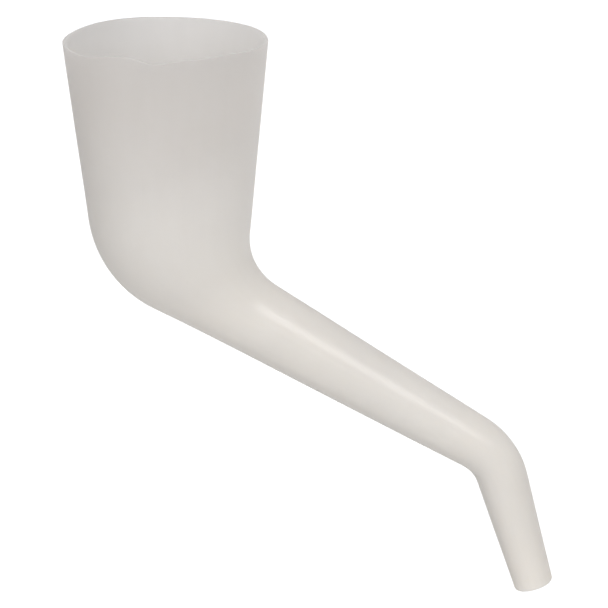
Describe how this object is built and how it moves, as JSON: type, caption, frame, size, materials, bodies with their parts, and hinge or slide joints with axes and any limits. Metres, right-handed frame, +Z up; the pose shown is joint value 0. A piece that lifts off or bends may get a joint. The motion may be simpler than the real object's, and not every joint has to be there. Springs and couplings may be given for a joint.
{
  "type": "offset funnel",
  "caption": "One-piece offset funnel: a tall round cup, a long sloping spout and a short bent tapered tip, blow-moulded in milky translucent plastic.",
  "frame": {"origin": "centre of the outlet's trimmed end, at the bottom of the tapered tip that stands in the filler neck", "axes": "+Z up, square to the level mouth; +X from the cup towards the tip; the XZ plane is the funnel's mirror plane"},
  "size_m": [0.2494, 0.1018, 0.2928],
  "materials": {
    "milky_polyethylene": "natural unpigmented polyethylene, milky and a little translucent, smooth with a soft satin gloss, faintly yellow where the wall is seen edge on"
  },
  "bodies": {
    "root": {"funnel_body": "milky_polyethylene"}
  },
  "joints": []
}
